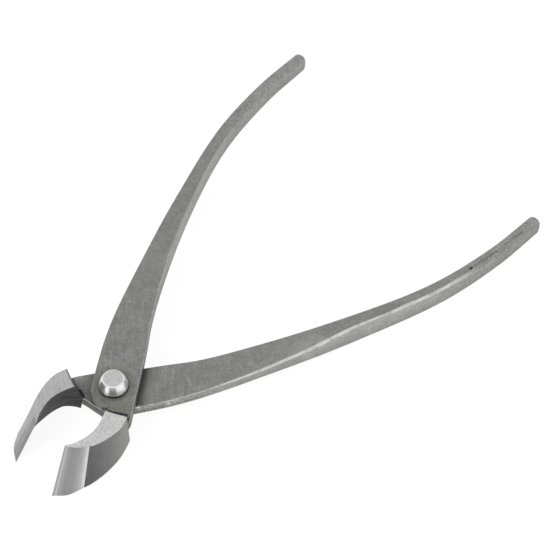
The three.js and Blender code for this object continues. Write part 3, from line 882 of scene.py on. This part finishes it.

# Finishes of the arms, in the order of their slots, and of the turned pieces
# Painted light: side finishes are lighter copies of the blasted ones; near and far ground, bevel and edge
# tones differ
near = [blasted("blasted_near", 141, 0, .23, (.9, 30, 85), [*NEAR_STEP_SHADOW, *NEAR_SCRATCHES], 0, 16),
        blasted("side_near", 154, 3, .26, (.9, 30, 85), (), .1, -4, .45, reach=(8, 70)),
        brushed("ground_near", 215, (1, 1, 0), .08, .42),
        bevel("bevel_near", [(0, 185), (.04, 216), (.1, 200), (.17, 166), (.36, 151), (.58, 153), (.76, 168),
                             (.87, 186), (.94, 214), (1, 214)], (-.45, -.1, -.88), .14, 2),
        brushed("edge_near", 172), hollow("hollow_near", 72), forged("forged_near", 101, 132),
        wall("wall_near", 118, LAP_LEVEL + .15, .9, 1.9, NEAR_CORNER_SHADE)]
far = [blasted("blasted_far", 141, 31, .42, (.45, 112, 132),
               [PIT_SHADE, PAINTED_GLINT, *FAR_STEP_SHADOW, *GROOVE_SHADE, *FAR_SCRATCHES], 0, 14, 1.1, 0),
       blasted("side_far", 162, 37, .42, (.45, 112, 132), [PAINTED_GLINT], .16, -18),
       brushed("ground_far", 192, (.75, 1, 0), .3, .16, marks=FAR_RIM),
       bevel("bevel_far", [(0, 110), (.12, 132), (.35, 148), (.6, 156), (.85, 156), (1, 146)],
             (-.47, .11, -.87), 1.0, .9),
       brushed("edge_far", 135), hollow("hollow_far", 72), forged("forged_far", 102, 134),
       wall("wall_far", 108, LAP_LEVEL - PLATE_THICKNESS - .15, .7, 3.2)]
# The rim finish is dark: a painted contact shadow at the foot of the rivet's head, which also covers shank
# and tail
turned = [turned_steel("cone", 252, .28, .08, .1, .85), turned_steel("face", 209, .42, .06, .4),
          turned_steel("rim", 50, .5, .1, .2), turned_steel("washer", 165, .35, .12, .3, .5)]

add_camera()
upper = arm_object("upper_arm_body", 1, near)
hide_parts("upper_arm")
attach(upper, "upper")
lower = arm_object("lower_arm_body", -1, far)
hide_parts("lower_arm")
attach(lower, "lower")


def rivet_object():
    base = PLATE_THICKNESS + FIT_GAP
    top = base + HEAD_HEIGHT
    washer = -base
    tail = washer - WASHER_THICKNESS - FIT_GAP
    foot = (HEAD - .1, base + RIM + .3)
    profile = [(0, tail - TAIL_HEIGHT), (TAIL_FACE, tail - TAIL_HEIGHT),
               (TAIL - .35, tail - TAIL_HEIGHT * .75), (TAIL - .05, tail - TAIL_HEIGHT * .4),
               (TAIL, tail - .1), (TAIL, tail), (SHANK, tail), (SHANK, base),
               (HEAD - .12, base), (HEAD, base + .12), (HEAD, base + RIM), foot]
    # Cone, then a rounding that runs into the face
    slope = atan2(HEAD_HEIGHT - RIM - .5, HEAD - FACE - .35)
    turn_start = (FACE + .62, top - FACE_ROUNDING * (1 - cos(slope)))
    for t in np.linspace(.15, 1, 7):
        profile.append((foot[0] + t * (turn_start[0] - foot[0]) + .1 * sin(pi * t),
                        foot[1] + t * (turn_start[1] - foot[1])))
    for t in np.linspace(.2, 1, 5):
        angle = slope * (1 - t)
        profile.append((turn_start[0] - FACE_ROUNDING * (sin(slope) - sin(angle)),
                        top - FACE_ROUNDING * (1 - cos(angle))))
    profile += [(FACE - 1, top), (0, top)]
    slots = []
    for (_, z0), (_, z1) in zip(profile, profile[1:]):
        middle = (z0 + z1) / 2
        slots.append(TURNED_FACE if middle > top - .02 else TURNED_RIM_SHADE if middle < base + .32 else CONE)
    obj = lathe("rivet", profile, turned, slots)
    finish_mesh(obj, 30)
    return obj


def washer_object():
    top = -PLATE_THICKNESS - FIT_GAP
    inside, low = SHANK + FIT_GAP, top - WASHER_THICKNESS
    profile = [(inside, low + .1), (inside + .1, low), (WASHER - .3, low), (WASHER - .1, low + .1),
               (WASHER, low + .3), (WASHER, top), (inside, top), (inside, low + .1)]
    obj = lathe("washer", profile, turned, [TURNED_WASHER] * (len(profile) - 1))
    finish_mesh(obj, 30)
    return obj


for make, name, node in ((rivet_object, "rivet_body", "pivot_rivet"),
                         (washer_object, "washer_body", "rivet_washer")):
    piece = make()
    piece.data.transform(Matrix.Scale(MM, 4) @ Matrix.Translation((0, 0, LAP_LEVEL)))
    piece.name = piece.data.name = name
    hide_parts(node)
    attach(piece, "lower")

# Stage

low = cad_box[0][2]
AIM = Vector((.04, 0, 0))  # what the lamps look at


def add_floor():
    size = 3
    corners = [(-size, -size, low), (size, -size, low), (size, size, low), (-size, size, low)]
    floor = mesh_object("floor", corners, [(0, 1, 2, 3)])
    material = bpy.data.materials.new("floor")
    material.use_nodes = True
    nodes, links = material.node_tree.nodes, material.node_tree.links
    shader = nodes["Principled BSDF"]
    shader.inputs["Roughness"].default_value = 1
    shader.inputs["Specular IOR Level"].default_value = 0
    path = nodes.new("ShaderNodeLightPath")
    either = nodes.new("ShaderNodeMath")
    either.operation = "MAXIMUM"
    links.new(path.outputs["Is Camera Ray"], either.inputs[0])
    links.new(path.outputs["Is Glossy Ray"], either.inputs[1])
    glow = nodes.new("ShaderNodeMath")
    glow.operation = "MULTIPLY"
    glow.inputs[1].default_value = .91
    links.new(either.outputs[0], glow.inputs[0])
    own = nodes.new("ShaderNodeMix")
    own.data_type = "RGBA"
    own.inputs[6].default_value = (.8, .8, .8, 1)
    own.inputs[7].default_value = (.16, .16, .16, 1)
    links.new(either.outputs[0], own.inputs[0])
    links.new(own.outputs[2], shader.inputs["Base Color"])
    shader.inputs["Emission Color"].default_value = (1, 1, 1, 1)
    links.new(glow.outputs[0], shader.inputs["Emission Strength"])
    floor.data.materials.append(material)


def add_world():
    world = bpy.data.worlds.new("world")
    bpy.context.scene.world = world
    world.use_nodes = True
    nodes, links = world.node_tree.nodes, world.node_tree.links
    nodes.clear()
    out = nodes.new("ShaderNodeOutputWorld")
    path = nodes.new("ShaderNodeLightPath")
    seen = nodes.new("ShaderNodeMath")
    seen.operation = "MAXIMUM"
    links.new(path.outputs["Is Camera Ray"], seen.inputs[0])
    links.new(path.outputs["Is Glossy Ray"], seen.inputs[1])
    seen2 = nodes.new("ShaderNodeMath")
    seen2.operation = "MAXIMUM"
    links.new(seen.outputs[0], seen2.inputs[0])
    links.new(path.outputs["Is Transmission Ray"], seen2.inputs[1])
    light = nodes.new("ShaderNodeBackground")
    light.inputs["Strength"].default_value = .5
    white = nodes.new("ShaderNodeBackground")
    white.inputs["Strength"].default_value = 1
    mix = nodes.new("ShaderNodeMixShader")
    links.new(seen2.outputs[0], mix.inputs[0])
    links.new(light.outputs[0], mix.inputs[1])
    links.new(white.outputs[0], mix.inputs[2])
    links.new(mix.outputs[0], out.inputs[0])


def add_light(name, place, size, power):
    data = bpy.data.lights.new(name, "AREA")
    data.shape = "RECTANGLE"
    data.size, data.size_y = size
    data.energy = power
    light = bpy.data.objects.new(name, data)
    place = Vector(place)
    turn = (AIM - place).to_track_quat("-Z", "Y")
    light.matrix_world = Matrix.Translation(place) @ turn.to_matrix().to_4x4()
    bpy.context.scene.collection.objects.link(light)
    # Flat ground faces would mirror a lamp as pure white
    light.visible_glossy = False


add_floor()
add_world()
add_light("key", (-.8, .13, .89), (1.0, 1.0), 11)
add_light("front", (0, -1.0, .66), (.5, .14), 2)
add_light("right", (1.0, -.65, .28), (.3, .2), 1.5)
bpy.context.scene.view_settings.view_transform = "Standard"
